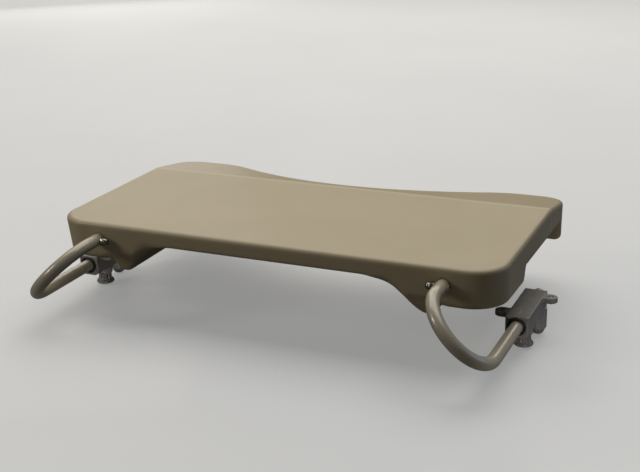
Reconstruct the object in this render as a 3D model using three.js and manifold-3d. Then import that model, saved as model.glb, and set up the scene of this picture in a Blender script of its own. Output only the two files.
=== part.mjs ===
// Overlap tray table for a clinical recliner: a hollow blow-moulded tray carried by two bent steel
// tubes that slide in clamps under the chair's armrests. A hand knob on each clamp locks its tube.
//
// Millimetres. X runs along the tray, Y from the front edge towards the patient, Z up.
// The drawing is laid out from the tray's front edge; the last lines move its origin to the middle
// of the flat top. `side` is -1 for the left half and +1 for the right half.

import * as THREE from 'three';
import { mergeVertices } from 'three/addons/utils/BufferGeometryUtils.js';
import Module from 'manifold-3d';

const wasm = await Module();
wasm.setup();

// ---- Driving dimensions -------------------------------------------------------------------------

const CLEAR = 0.3;
const TOUCH = 0.1;

// Tray
const TRAY_FRONT_HALF = 355;
const TRAY_BACK_HALF = 350;
const TRAY_DEPTH = 420;
const TRAY_WALL = 3.5;
const FRONT_CORNER_R = 54;
const BACK_CORNER_R = 22;
const TOP_EDGE_R = 9;
const WALL_DRAFT = 0.06;
const CREASE_Y = 303;
const BAND_SLOPE = 0.157;
const BELLY_HALF = 247;
const BELLY_DEPTH = 96;
const BELLY_STEPS = 16;
const MIDDLE_THICK = 25.4;
const POD_FRONT_DEPTH = 62;
const POD_BACK_DEPTH = 67;
const RUNNER_DEPTH = 80;
const RUNNER_INNER_X = 244;
const RUNNER_OUTER_X = 264;
const RUNNER_FRONT_Y = 20;
const CURVE_START_X = 158;
const CURVE_FLAT_X = 200;
const CURVE_STEEP_X = 214;
const CURVE_STEEP_Z = -48;
const NOTCH_FRONT_Y = 152;
const NOTCH_BACK_Y = 368;
const NOTCH_Z = -43;
const NOTCH_CORNER_R = 16;

// Bent tubes
const TUBE_R = 19.05 / 2;
const TUBE_WALL = 1.5;
const TUBE_SIDES = 20;
const ARM_X = 275.5;
const ARM_Z = -25.5;
const ARM_INNER_END_Y = 190;
const ARM_OUTER_END_Y = 214;
const BEND_START_Y = -30;
const BEND_R = 58.5;
const BEND_TILT = Math.PI / 4;
const BEND_STEPS = 12;
const LEG_X = ARM_X + 2 * BEND_R * Math.cos(BEND_TILT);
const LEG_Z = ARM_Z - 2 * BEND_R * Math.sin(BEND_TILT);

// Cross bolt in front of the tray wall
const CROSS_Y = -7;
const CROSS_R = 2.95;
const CAP_NUT_FLATS = 10;

// Screws that hold a tube in the tray
const TUBE_SCREW_YS = { front: 45, rear: 125 };
const TUBE_SCREW_R = 2.4;
const TUBE_SCREW_SEAT_Z = -46;
const TUBE_SCREW_WELL_R = 5.5;
const PILLAR_R = 9;
const COLLAR_R = 14;
const COLLAR_BACK_Y = 18;

// Clamp
const CLAMP_HALF = 17;
const CLAMP_TOP_Z = LEG_Z + 14.7;
const CLAMP_BOTTOM_Z = LEG_Z - 17.8;
const CLAMP_FRONT_Y = 85;
const CLAMP_BACK_Y = 198;
const LINER_BACK_Y = 150;
const LINER_R = 11.6;
const LINER_FLANGE = 2.2;
const KNOB_Y = 129;
const KNOB_BOSS_R = 13;
const KNOB_BOSS_Z = LEG_Z - 27.8;
const POST_X = LEG_X + 7.8;
const POST_Y = 182;
const POST_R = 13;
const POST_Z = LEG_Z - 38.3;
const POST_RECESS_R = 8.4;
const POST_RECESS_DEPTH = 14;
const SET_SCREW_R = 3.9;
const LUG_REACH = 27;
const LUG_R = 10;
const LUG_THICK = 8;
const LUG_YS = { front: 106, rear: 176 };
const MOUNT_SCREW_R = 3;
const INSERT_R = 6.5;
const INSERT_LENGTH = 6.8;

// Knob, stud and pad
const STUD_R = 3.9;
const PAD_R = 6.5;
const PAD_TOP_Z = LEG_Z - 9.8;
const PAD_THICK = 5.2;
const PAD_DROP = 3.2;
const PAD_CAP = 3.4;
const STUD_IN_KNOB = 10.5;
const KNOB_TOP_Z = KNOB_BOSS_Z - 0.6;
const KNOB_HEIGHT = 17;
const KNOB_FLUTES = 12;
const FLUTE_CUT_R = 1.5;
const FLUTE_CENTRE_R = 11.6;

const COLOURS = {
  moulding: { color: 0xb0a58c, roughness: 0.55, metalness: 0 },
  paint: { color: 0xa89f8c, roughness: 0.35, metalness: 0.3 },
  chrome: { color: 0xd8d8d8, roughness: 0.08, metalness: 1 },
  steel: { color: 0x9a9a98, roughness: 0.35, metalness: 1 },
  brass: { color: 0xb08d4f, roughness: 0.35, metalness: 1 },
  housing: { color: 0x504c4a, roughness: 0.5, metalness: 0.2 },
  plastic: { color: 0x33322e, roughness: 0.5, metalness: 0 },
  nylon: { color: 0x24242a, roughness: 0.6, metalness: 0 },
};

// ---- Solids -------------------------------------------------------------------------------------

function solidFrom(geometry) {
  const bare = geometry.clone();
  bare.deleteAttribute('normal');
  bare.deleteAttribute('uv');
  const merged = mergeVertices(bare, 1e-4);
  const corners = merged.index.array;
  const kept = [];
  for (let i = 0; i < corners.length; i += 3) {
    const [a, b, c] = [corners[i], corners[i + 1], corners[i + 2]];
    if (a !== b && b !== c && c !== a) kept.push(a, b, c);
  }
  const vertProperties = new Float32Array(merged.attributes.position.array);
  const triVerts = new Uint32Array(kept);
  return new wasm.Manifold(new wasm.Mesh({ numProp: 3, vertProperties, triVerts }));
}

function geometryFrom(solid) {
  const { vertProperties, triVerts } = solid.getMesh();
  const geometry = new THREE.BufferGeometry();
  geometry.setAttribute('position', new THREE.BufferAttribute(vertProperties, 3));
  geometry.setIndex(new THREE.BufferAttribute(triVerts, 1));
  geometry.computeVertexNormals();
  return geometry;
}

function without(solid, cutters) {
  return cutters.reduce((rest, cutter) => rest.subtract(cutter), solid);
}

function block(x0, x1, y0, y1, z0, z1) {
  const geometry = new THREE.BoxGeometry(x1 - x0, y1 - y0, z1 - z0);
  return solidFrom(geometry.translate((x0 + x1) / 2, (y0 + y1) / 2, (z0 + z1) / 2));
}

function extruded(shape, length, curveSegments) {
  return new THREE.ExtrudeGeometry(shape, { depth: length, bevelEnabled: false, curveSegments });
}

// The shape is drawn in X and Z.
function prismAlongY(shape, y0, y1, curveSegments = 4) {
  return solidFrom(extruded(shape, y1 - y0, curveSegments).rotateX(Math.PI / 2).translate(0, y1, 0));
}

// The shape is drawn in Y and Z.
function prismAlongX(shape, x0, x1) {
  const turn = new THREE.Matrix4().makeBasis(
    new THREE.Vector3(0, 1, 0),
    new THREE.Vector3(0, 0, 1),
    new THREE.Vector3(1, 0, 0),
  );
  return solidFrom(extruded(shape, x1 - x0, 4).applyMatrix4(turn).translate(x0, 0, 0));
}

function rodX(radius, x0, x1, y, z, sides = 14) {
  const geometry = new THREE.CylinderGeometry(radius, radius, x1 - x0, sides).rotateZ(Math.PI / 2);
  return solidFrom(geometry.translate((x0 + x1) / 2, y, z));
}

function rodY(radius, y0, y1, x, z, sides = 14) {
  const geometry = new THREE.CylinderGeometry(radius, radius, y1 - y0, sides);
  return solidFrom(geometry.translate(x, (y0 + y1) / 2, z));
}

function rodZ(radius, z0, z1, x, y, sides = 14) {
  const geometry = new THREE.CylinderGeometry(radius, radius, z1 - z0, sides).rotateX(Math.PI / 2);
  return solidFrom(geometry.translate(x, y, (z0 + z1) / 2));
}

// A turned piece on the Z axis. The profile lists [radius, height] from the bottom up.
function turned(profile, sides = 16) {
  const points = profile.map(([radius, height]) => new THREE.Vector2(radius, height));
  return new THREE.LatheGeometry(points, sides).rotateX(Math.PI / 2);
}

// A closed outline through corners [x, y, radius], in order, with each corner rounded.
function roundedOutline(corners) {
  const shape = new THREE.Shape();
  corners.forEach(([x, y, radius], i) => {
    const corner = new THREE.Vector2(x, y);
    const before = new THREE.Vector2(...corners.at(i - 1).slice(0, 2)).sub(corner).normalize();
    const next = corners[(i + 1) % corners.length];
    const after = new THREE.Vector2(...next.slice(0, 2)).sub(corner).normalize();
    const half = Math.acos(before.dot(after)) / 2;
    const start = corner.clone().addScaledVector(before, radius / Math.tan(half));
    const end = corner.clone().addScaledVector(after, radius / Math.tan(half));
    const middle = before.clone().add(after).normalize();
    const centre = corner.clone().addScaledVector(middle, radius / Math.sin(half));
    const startAngle = Math.atan2(start.y - centre.y, start.x - centre.x);
    const endAngle = Math.atan2(end.y - centre.y, end.x - centre.x);
    const clockwise = before.cross(after) > 0;
    if (i === 0) shape.moveTo(start.x, start.y);
    else shape.lineTo(start.x, start.y);
    if (radius > 0) shape.absarc(centre.x, centre.y, radius, startAngle, endAngle, clockwise);
  });
  shape.closePath();
  return shape;
}

// ---- Tray ---------------------------------------------------------------------------------------

// The tray seen from above, `inset` inside its outer wall, with the belly cut-out in its back edge.
function trayOutline(inset) {
  const front = TRAY_FRONT_HALF - inset;
  const back = TRAY_BACK_HALF - inset;
  const backY = TRAY_DEPTH - inset;
  const corner = FRONT_CORNER_R - inset;
  const shape = new THREE.Shape();
  const taper = Math.atan2(TRAY_FRONT_HALF - TRAY_BACK_HALF, TRAY_DEPTH);
  shape.moveTo(0, inset);
  shape.absarc(front - corner, inset + corner, corner, -Math.PI / 2, taper, false);
  shape.absarc(back - BACK_CORNER_R, backY - BACK_CORNER_R, BACK_CORNER_R, taper, Math.PI / 2, false);
  for (let i = 0; i <= BELLY_STEPS; i += 1) {
    const across = 1 - (2 * i) / BELLY_STEPS;
    shape.lineTo(across * (BELLY_HALF + inset), backY - BELLY_DEPTH * (1 - across ** 2));
  }
  const leftEnd = Math.PI - taper;
  shape.absarc(BACK_CORNER_R - back, backY - BACK_CORNER_R, BACK_CORNER_R, Math.PI / 2, leftEnd, false);
  shape.absarc(corner - front, inset + corner, corner, leftEnd, 1.5 * Math.PI, false);
  shape.closePath();
  return shape;
}

// What is cut away under the tray's middle: flat underside, then a smooth curve down each pod's
// inner wall to the runner that hangs deepest.
function middleUnderside(inset) {
  const ceiling = inset - MIDDLE_THICK;
  const floor = -RUNNER_DEPTH - 2 * TRAY_WALL;
  const foot = RUNNER_INNER_X + inset;
  const shape = new THREE.Shape();
  shape.moveTo(-foot, floor);
  shape.lineTo(foot, floor);
  shape.lineTo(foot, -RUNNER_DEPTH);
  const steep = CURVE_STEEP_X + inset;
  const flat = CURVE_FLAT_X + inset;
  shape.bezierCurveTo(steep, CURVE_STEEP_Z, flat, ceiling, CURVE_START_X, ceiling);
  shape.lineTo(-CURVE_START_X, ceiling);
  shape.bezierCurveTo(-flat, ceiling, -steep, CURVE_STEEP_Z, -foot, -RUNNER_DEPTH);
  shape.closePath();
  return prismAlongY(shape, -CLEAR, TRAY_DEPTH + CLEAR, 8);
}

// What is cut away under one end, outboard of the runner: the shallower front pod, and the arch
// that clears the armrest. The foot behind the arch keeps its full depth.
function endUnderside(side, inset) {
  const floor = -RUNNER_DEPTH - 2 * TRAY_WALL;
  const notchFront = NOTCH_FRONT_Y - inset;
  const notchBack = NOTCH_BACK_Y + inset;
  const shape = roundedOutline([
    [0, floor, 0],
    [notchBack, floor, 0],
    [notchBack, NOTCH_Z + inset, NOTCH_CORNER_R + inset],
    [notchFront, NOTCH_Z + inset, NOTCH_CORNER_R + inset],
    [notchFront, inset - POD_BACK_DEPTH, 0],
    [0, inset - POD_FRONT_DEPTH, 0],
  ]);
  const inner = RUNNER_OUTER_X - inset;
  const outer = TRAY_FRONT_HALF + 1;
  return side > 0 ? prismAlongX(shape, inner, outer) : prismAlongX(shape, -outer, -inner);
}

// The outline as a block whose sides lean in below the top edge, as a moulding's must.
function draftedBlock(inset) {
  const reach = RUNNER_DEPTH + TRAY_WALL;
  const lean = reach * WALL_DRAFT;
  const leaning = new THREE.ExtrudeGeometry(trayOutline(inset), {
    depth: 1,
    bevelSize: lean,
    bevelThickness: reach,
    bevelOffset: -lean,
    bevelSegments: 1,
    curveSegments: 4,
  });
  return solidFrom(leaning.translate(0, 0, -TOP_EDGE_R - 1));
}

// The tray's whole volume with every wall moved in by `inset`.
function trayVolume(inset) {
  const height = RUNNER_DEPTH + TOP_EDGE_R;
  const slab = new THREE.ExtrudeGeometry(trayOutline(inset), {
    depth: height,
    bevelSize: TOP_EDGE_R,
    bevelThickness: TOP_EDGE_R,
    bevelOffset: -TOP_EDGE_R,
    bevelSegments: 3,
    curveSegments: 4,
  });
  slab.translate(0, 0, -height - TOP_EDGE_R - inset);
  const half = TRAY_FRONT_HALF + 1;
  const backY = TRAY_DEPTH + 1;
  const band = new THREE.Shape();
  band.moveTo(CREASE_Y, -inset);
  band.lineTo(backY, -inset - (backY - CREASE_Y) * BAND_SLOPE);
  band.lineTo(backY, 1);
  band.lineTo(CREASE_Y, 1);
  band.closePath();
  const floor = -RUNNER_DEPTH + inset;
  return without(solidFrom(slab).intersect(draftedBlock(inset)), [
    prismAlongX(band, -half, half),
    block(-half, half, -1, backY, floor - 40, floor),
    block(-half, half, -1, RUNNER_FRONT_Y + inset, floor - 1, inset - POD_FRONT_DEPTH),
    middleUnderside(inset),
    endUnderside(-1, inset),
    endUnderside(1, inset),
  ]);
}

function podFloor(y) {
  return -THREE.MathUtils.lerp(POD_FRONT_DEPTH, POD_BACK_DEPTH, y / NOTCH_FRONT_Y);
}

// Hollow moulding. Inside each pod a collar and two pillars cradle the tube, and each pillar is
// recessed from below for the screw that goes up into the tube.
function trayBody() {
  let body = trayVolume(0).subtract(trayVolume(TRAY_WALL));
  for (const side of [-1, 1]) {
    const x = side * ARM_X;
    body = body.add(rodY(COLLAR_R, TRAY_WALL - 1, COLLAR_BACK_Y, x, ARM_Z, TUBE_SIDES));
    for (const y of Object.values(TUBE_SCREW_YS)) {
      body = body.add(rodZ(PILLAR_R, podFloor(y) + 1, ARM_Z, x, y));
    }
    body = body.subtract(rodY(TUBE_R + CLEAR, -1, ARM_INNER_END_Y + CLEAR, x, ARM_Z, TUBE_SIDES));
    for (const y of Object.values(TUBE_SCREW_YS)) {
      body = body.subtract(rodZ(TUBE_SCREW_WELL_R, podFloor(y) - 1, TUBE_SCREW_SEAT_Z, x, y));
      body = body.subtract(rodZ(TUBE_SCREW_R + 0.2, TUBE_SCREW_SEAT_Z - 1, ARM_Z, x, y));
    }
  }
  return geometryFrom(body);
}

// ---- Bent tube and its fixings ------------------------------------------------------------------

// The tube's centre line: back leg in the tray, half-turn in a tilted plane, lower leg under the
// armrest. Each straight leg is one step, and the half-turn has the rest.
class ArmLine extends THREE.Curve {
  constructor(side) {
    super();
    this.steps = BEND_STEPS + 2;
    this.out = new THREE.Vector3(side * Math.cos(BEND_TILT), 0, -Math.sin(BEND_TILT));
    this.bendStart = new THREE.Vector3(side * ARM_X, BEND_START_Y, ARM_Z);
    this.centre = this.bendStart.clone().addScaledVector(this.out, BEND_R);
    this.bendEnd = this.bendStart.clone().addScaledVector(this.out, 2 * BEND_R);
  }

  turnAt(t) {
    return THREE.MathUtils.clamp((t * this.steps - 1) / BEND_STEPS, 0, 1) * Math.PI;
  }

  getPoint(t) {
    const step = t * this.steps;
    const last = step - this.steps + 1;
    if (step < 1) {
      return this.bendStart.clone().setY(THREE.MathUtils.lerp(ARM_INNER_END_Y, BEND_START_Y, step));
    }
    if (last > 0) {
      return this.bendEnd.clone().setY(THREE.MathUtils.lerp(BEND_START_Y, ARM_OUTER_END_Y, last));
    }
    const turn = this.turnAt(t);
    const point = this.centre.clone().addScaledVector(this.out, -BEND_R * Math.cos(turn));
    return point.setY(BEND_START_Y - BEND_R * Math.sin(turn));
  }

  getTangent(t) {
    const turn = this.turnAt(t);
    return this.out.clone().multiplyScalar(Math.sin(turn)).setY(-Math.cos(turn));
  }

  getUtoTmapping(u) {
    return u;
  }
}

function armTube(side) {
  const section = new THREE.Shape().absarc(0, 0, TUBE_R, 0, 2 * Math.PI, false);
  section.holes.push(new THREE.Path().absarc(0, 0, TUBE_R - TUBE_WALL, 0, 2 * Math.PI, true));
  const line = new ArmLine(side);
  const tube = new THREE.ExtrudeGeometry(section, {
    extrudePath: line,
    steps: line.steps,
    curveSegments: TUBE_SIDES / 2,
  });
  const x = side * ARM_X;
  const holes = [rodX(CROSS_R + 0.15, x - 12, x + 12, CROSS_Y, ARM_Z)];
  for (const y of Object.values(TUBE_SCREW_YS)) {
    holes.push(rodZ(TUBE_SCREW_R + 0.2, ARM_Z - 12, ARM_Z, x, y));
  }
  return geometryFrom(without(solidFrom(tube), holes));
}

// Plastic plug in the open end of the lower leg.
function endPlug() {
  const plugR = TUBE_R - TUBE_WALL - 0.15;
  const rimR = TUBE_R - TOUCH;
  return turned([[0, -12], [plugR, -12], [plugR, TOUCH], [rimR, TOUCH], [rimR, 2], [rimR - 1.1, 3], [0, 3]]);
}

// Low-headed bolt on the Z axis, with its shank up and the seat of its head at zero.
function lowHeadBolt(shankR, length, headR, headHeight) {
  const head = [[0, -headHeight], [headR * 0.7, -headHeight * 0.85], [headR, -headHeight * 0.3], [headR, 0]];
  return turned([...head, [shankR, 0], [shankR, length], [0, length]], 12);
}

// Set screw with a hexagon socket in its lower end, standing on zero.
function setScrew(length) {
  const socket = new THREE.CylinderGeometry(2.3, 2.3, 8, 6).rotateX(Math.PI / 2);
  return geometryFrom(rodZ(SET_SCREW_R, 0, length, 0, 0, 20).subtract(solidFrom(socket)));
}

// Acorn nut on the Z axis: hexagon below, dome on top, blind bore from the hexagon's face.
function capNut() {
  const hexagonHeight = 5;
  const domeR = CAP_NUT_FLATS / 2 - 0.1;
  const flatsR = CAP_NUT_FLATS / Math.sqrt(3);
  const hexagon = new THREE.CylinderGeometry(flatsR, flatsR, hexagonHeight, 6).rotateX(Math.PI / 2);
  const profile = [[0, 1], [domeR, 1], [domeR, hexagonHeight + 1.8]];
  for (let i = 1; i <= 4; i += 1) {
    const angle = (i / 4) * (Math.PI / 2);
    profile.push([domeR * Math.cos(angle), hexagonHeight + 1.8 + domeR * Math.sin(angle)]);
  }
  profile.at(-1)[0] = 0;
  const nut = solidFrom(hexagon.translate(0, 0, hexagonHeight / 2)).add(solidFrom(turned(profile)));
  return geometryFrom(nut.subtract(rodZ(CROSS_R + 0.15, -1, hexagonHeight + 3.5, 0, 0)));
}

// Flat ring on the Z axis, standing on zero.
function ring(innerR, outerR, height, sides = 16) {
  return turned([[innerR, 0], [outerR, 0], [outerR, height], [innerR, height], [innerR, 0]], sides);
}

// ---- Clamp --------------------------------------------------------------------------------------

function clampSection() {
  const [left, right] = [-CLAMP_HALF, CLAMP_HALF];
  return roundedOutline([
    [left, CLAMP_BOTTOM_Z, 9],
    [right, CLAMP_BOTTOM_Z, 9],
    [right, CLAMP_TOP_Z, 2],
    [left, CLAMP_TOP_Z, 2],
  ]);
}

// Housing around the tube, with the knob's boss and the set screw's post below it, and a screw lug
// at the top on each side: the front one inboard, the rear one outboard.
function clampBody(side) {
  const postX = side * (POST_X - LEG_X);
  const lugs = [[-side * LUG_REACH, LUG_YS.front], [side * LUG_REACH, LUG_YS.rear]];
  const lugZ = CLAMP_TOP_Z - LUG_THICK;
  let body = prismAlongY(clampSection(), CLAMP_FRONT_Y, CLAMP_BACK_Y)
    .add(rodZ(KNOB_BOSS_R, KNOB_BOSS_Z, CLAMP_BOTTOM_Z + 4, 0, KNOB_Y, 20))
    .add(rodZ(POST_R, POST_Z, CLAMP_BOTTOM_Z + 12, postX, POST_Y, 20));
  for (const [x, y] of lugs) {
    body = body.add(rodZ(LUG_R, lugZ, CLAMP_TOP_Z, x, y, 16));
    body = body.add(block(Math.min(x, 0), Math.max(x, 0), y - LUG_R, y + LUG_R, lugZ, CLAMP_TOP_Z));
  }
  const recessTop = POST_Z + POST_RECESS_DEPTH;
  const holes = lugs.map(([x, y]) => rodZ(MOUNT_SCREW_R + CLEAR, lugZ - 1, CLAMP_TOP_Z + 1, x, y));
  return geometryFrom(without(body, [
    ...holes,
    rodY(LINER_R + 0.2, CLAMP_FRONT_Y - 1, LINER_BACK_Y + CLEAR, 0, LEG_Z, TUBE_SIDES),
    rodY(TUBE_R + 0.4, LINER_BACK_Y, CLAMP_BACK_Y + 1, 0, LEG_Z, TUBE_SIDES),
    rodZ(PAD_R + 0.4, PAD_TOP_Z - PAD_THICK - PAD_DROP, LEG_Z, 0, KNOB_Y, 16),
    rodZ(STUD_R + 0.4, KNOB_BOSS_Z - 1, LEG_Z, 0, KNOB_Y, 16),
    rodZ(INSERT_R + 0.2, KNOB_BOSS_Z - 1, KNOB_BOSS_Z + INSERT_LENGTH + 0.2, 0, KNOB_Y, 16),
    rodZ(POST_RECESS_R, POST_Z - 1, recessTop, postX, POST_Y, 16),
    rodZ(SET_SCREW_R + 0.1, recessTop - 5, LEG_Z, 0, POST_Y, 20),
  ]));
}

// Flanged sleeve that the lower leg slides in, with a window for the pressure pad.
function tubeLiner() {
  const frontY = CLAMP_FRONT_Y - LINER_FLANGE;
  const flangeR = LINER_R + LINER_FLANGE;
  const sleeve = rodY(LINER_R, frontY, LINER_BACK_Y, 0, LEG_Z, TUBE_SIDES)
    .add(rodY(flangeR, frontY, CLAMP_FRONT_Y - TOUCH, 0, LEG_Z, TUBE_SIDES));
  return geometryFrom(without(sleeve, [
    rodY(TUBE_R + 0.2, frontY - 1, LINER_BACK_Y + 1, 0, LEG_Z, TUBE_SIDES),
    rodZ(PAD_R + 0.4, LEG_Z - 2 * LINER_R, LEG_Z, 0, KNOB_Y, 16),
  ]));
}

// Disc that the stud presses up against the tube, with a blind socket for the stud's end.
function pressurePad() {
  const disc = rodZ(PAD_R, PAD_TOP_Z - PAD_THICK, PAD_TOP_Z, 0, KNOB_Y, 16);
  const socket = rodZ(STUD_R + CLEAR, PAD_TOP_Z - PAD_THICK - 1, PAD_TOP_Z - PAD_CAP, 0, KNOB_Y, 16);
  return geometryFrom(disc.subtract(socket));
}

// Threaded stud, from its end in the pad's socket down into the knob.
function knobStud() {
  return geometryFrom(rodZ(STUD_R, KNOB_TOP_Z - STUD_IN_KNOB, PAD_TOP_Z - PAD_CAP - 0.2, 0, KNOB_Y, 20));
}

// Hand knob: fluted waist over a flared rim, with a blind hole for the stud.
function knob() {
  const bottom = KNOB_TOP_Z - KNOB_HEIGHT;
  const profile = [[0, bottom - 0.6], [11.5, bottom], [13.8, bottom + 0.9], [14.5, bottom + 2.4],
    [14.2, bottom + 4.2], [11.6, bottom + 7], [10.6, bottom + 10], [10.6, bottom + 15.6],
    [9.6, KNOB_TOP_Z], [0, KNOB_TOP_Z]];
  let body = solidFrom(turned(profile, 24));
  for (let i = 0; i < KNOB_FLUTES; i += 1) {
    const angle = (i / KNOB_FLUTES) * 2 * Math.PI;
    const x = FLUTE_CENTRE_R * Math.cos(angle);
    const y = FLUTE_CENTRE_R * Math.sin(angle);
    body = body.subtract(rodZ(FLUTE_CUT_R, bottom + 3.4, KNOB_TOP_Z + 1, x, y, 6));
  }
  body = body.subtract(rodZ(STUD_R + TOUCH, KNOB_TOP_Z - STUD_IN_KNOB - 0.5, KNOB_TOP_Z + 1, 0, 0, 20));
  return geometryFrom(body);
}

// Rounded cap over the set screw, with a spigot that pushes into the post's recess.
function postCap() {
  return turned([[0, -9.8], [4, -9.5], [7.4, -8.2], [9.3, -5.8], [10, -2.6], [10, 0],
    [POST_RECESS_R - 0.2, 0], [POST_RECESS_R - 0.2, 7], [0, 7]]);
}

// ---- Assembly -----------------------------------------------------------------------------------

function piece(name, geometry, finish) {
  const mesh = new THREE.Mesh(geometry, new THREE.MeshStandardMaterial(COLOURS[finish]));
  mesh.name = name;
  return mesh;
}

// The tube and everything that is fixed to it.
function armGroup(side, label) {
  const group = new THREE.Group();
  const x = side * ARM_X;
  group.add(piece(`${label}_arm_tube`, armTube(side), 'paint'));

  const plug = piece(`${label}_tube_end_plug`, endPlug(), 'plastic');
  plug.position.set(side * LEG_X, ARM_OUTER_END_Y, LEG_Z);
  plug.rotation.x = -Math.PI / 2;
  group.add(plug);

  // The bolt's head is outboard and its cap nut inboard.
  const washerHeight = 1.2;
  const cross = new THREE.Group();
  cross.position.set(x, CROSS_Y, ARM_Z);
  cross.rotation.y = -side * (Math.PI / 2);
  const bolt = piece(`${label}_cross_bolt`, lowHeadBolt(CROSS_R, 2 * TUBE_R + 8, 5.4, 1.9), 'paint');
  bolt.position.z = -TUBE_R - TOUCH;
  const washer = piece(`${label}_bolt_washer`, ring(CROSS_R + 0.15, 5.6, washerHeight), 'chrome');
  washer.position.z = TUBE_R + TOUCH;
  const nut = piece(`${label}_cap_nut`, capNut(), 'chrome');
  nut.position.z = TUBE_R + washerHeight + 2 * TOUCH;
  cross.add(bolt, washer, nut);
  group.add(cross);

  for (const [place, y] of Object.entries(TUBE_SCREW_YS)) {
    const screw = piece(`${label}_tube_screw_${place}`, lowHeadBolt(TUBE_SCREW_R, 19, 4.7, 3.2), 'steel');
    screw.position.set(x, y, TUBE_SCREW_SEAT_Z - TOUCH);
    group.add(screw);
  }
  return group;
}

// The clamp and its lock, placed on the lower leg.
function clampGroup(side, label) {
  const group = new THREE.Group();
  group.position.x = side * LEG_X;
  const hand = piece(`${label}_knob`, knob(), 'plastic');
  hand.position.y = KNOB_Y;
  const insertRing = ring(STUD_R + TOUCH, INSERT_R, INSERT_LENGTH, 20);
  const insert = piece(`${label}_stud_insert`, insertRing, 'brass');
  insert.position.set(0, KNOB_Y, KNOB_BOSS_Z + TOUCH);
  const setScrewZ = POST_Z + POST_RECESS_DEPTH - 4;
  const tension = piece(`${label}_set_screw`, setScrew(LEG_Z - TUBE_R - 0.4 - setScrewZ), 'steel');
  tension.position.set(0, POST_Y, setScrewZ);
  const cap = piece(`${label}_post_cap`, postCap(), 'plastic');
  cap.position.set(side * (POST_X - LEG_X), POST_Y, POST_Z - TOUCH);
  group.add(
    piece(`${label}_clamp_body`, clampBody(side), 'housing'),
    piece(`${label}_tube_liner`, tubeLiner(), 'nylon'),
    piece(`${label}_pressure_pad`, pressurePad(), 'nylon'),
    piece(`${label}_knob_stud`, knobStud(), 'steel'),
    hand,
    insert,
    tension,
    cap,
  );
  for (const [place, y] of Object.entries(LUG_YS)) {
    const shape = lowHeadBolt(MOUNT_SCREW_R, LUG_THICK - 0.4, 5.6, 3.4);
    const screw = piece(`${label}_mount_screw_${place}`, shape, 'steel');
    const outboard = place === 'front' ? -side : side;
    screw.position.set(outboard * LUG_REACH, y, CLAMP_TOP_Z - LUG_THICK - TOUCH);
    group.add(screw);
  }
  return group;
}

const table = new THREE.Group();
table.position.y = -CREASE_Y / 2;
table.add(piece('tray_body', trayBody(), 'moulding'));
for (const [label, side] of [['left', -1], ['right', 1]]) {
  table.add(armGroup(side, label), clampGroup(side, label));
}

export default table;
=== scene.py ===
"""The overlap tray table of a clinical recliner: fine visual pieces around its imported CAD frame.

Every visible piece is a fine mesh made here and stands for one CAD node. Rounded mouldings come from
distance fields, turned parts from filleted profiles, and the bent tubes from a sweep. Lengths in the
shape code are millimetres in the row frame, with the right-hand piece of each pair modelled and then
mirrored. Meshes, lights and the camera are in metres.
"""

import math

import bpy
import numpy as np
from mathutils import Matrix, Vector


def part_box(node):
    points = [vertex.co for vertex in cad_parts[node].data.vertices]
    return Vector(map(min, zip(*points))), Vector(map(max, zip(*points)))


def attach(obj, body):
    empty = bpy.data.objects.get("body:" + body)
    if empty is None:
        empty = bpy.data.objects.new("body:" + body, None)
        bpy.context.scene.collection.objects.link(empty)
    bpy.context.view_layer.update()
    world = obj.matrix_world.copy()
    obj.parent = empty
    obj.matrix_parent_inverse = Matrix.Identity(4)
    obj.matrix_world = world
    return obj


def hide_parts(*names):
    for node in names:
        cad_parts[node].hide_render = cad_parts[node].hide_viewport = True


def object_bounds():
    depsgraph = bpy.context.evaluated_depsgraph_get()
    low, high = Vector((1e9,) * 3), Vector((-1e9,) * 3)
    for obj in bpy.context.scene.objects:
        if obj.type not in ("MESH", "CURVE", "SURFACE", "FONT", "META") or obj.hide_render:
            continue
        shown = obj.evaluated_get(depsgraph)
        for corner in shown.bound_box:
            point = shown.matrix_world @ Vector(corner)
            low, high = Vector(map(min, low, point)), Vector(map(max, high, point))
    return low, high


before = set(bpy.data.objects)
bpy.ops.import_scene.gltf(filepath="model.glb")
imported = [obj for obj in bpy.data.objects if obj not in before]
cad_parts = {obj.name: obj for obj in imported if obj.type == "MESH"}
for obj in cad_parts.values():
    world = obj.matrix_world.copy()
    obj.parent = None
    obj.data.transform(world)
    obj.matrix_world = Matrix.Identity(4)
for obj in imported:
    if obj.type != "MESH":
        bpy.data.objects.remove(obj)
cad_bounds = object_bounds()

MM = 0.001
SIDES = {"left": -1, "right": 1}


def cad_box(node):
    """Lowest and highest corner of a CAD node, in millimetres."""
    low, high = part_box(node)
    return np.array(low) / MM, np.array(high) / MM


# ---- Places read from the frame -----------------------------------------------------------------

TRAY_LOW, TRAY_HIGH = cad_box("tray_body")
TUBE_LOW, TUBE_HIGH = cad_box("right_arm_tube")
KNOB_LOW, KNOB_HIGH = cad_box("right_knob")
CAP_LOW, CAP_HIGH = cad_box("right_post_cap")
CLAMP_LOW, CLAMP_HIGH = cad_box("right_clamp_body")
NUT_LOW, NUT_HIGH = cad_box("right_cap_nut")

TUBE_R = 19.05 / 2
TUBE_WALL = 1.5
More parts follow.
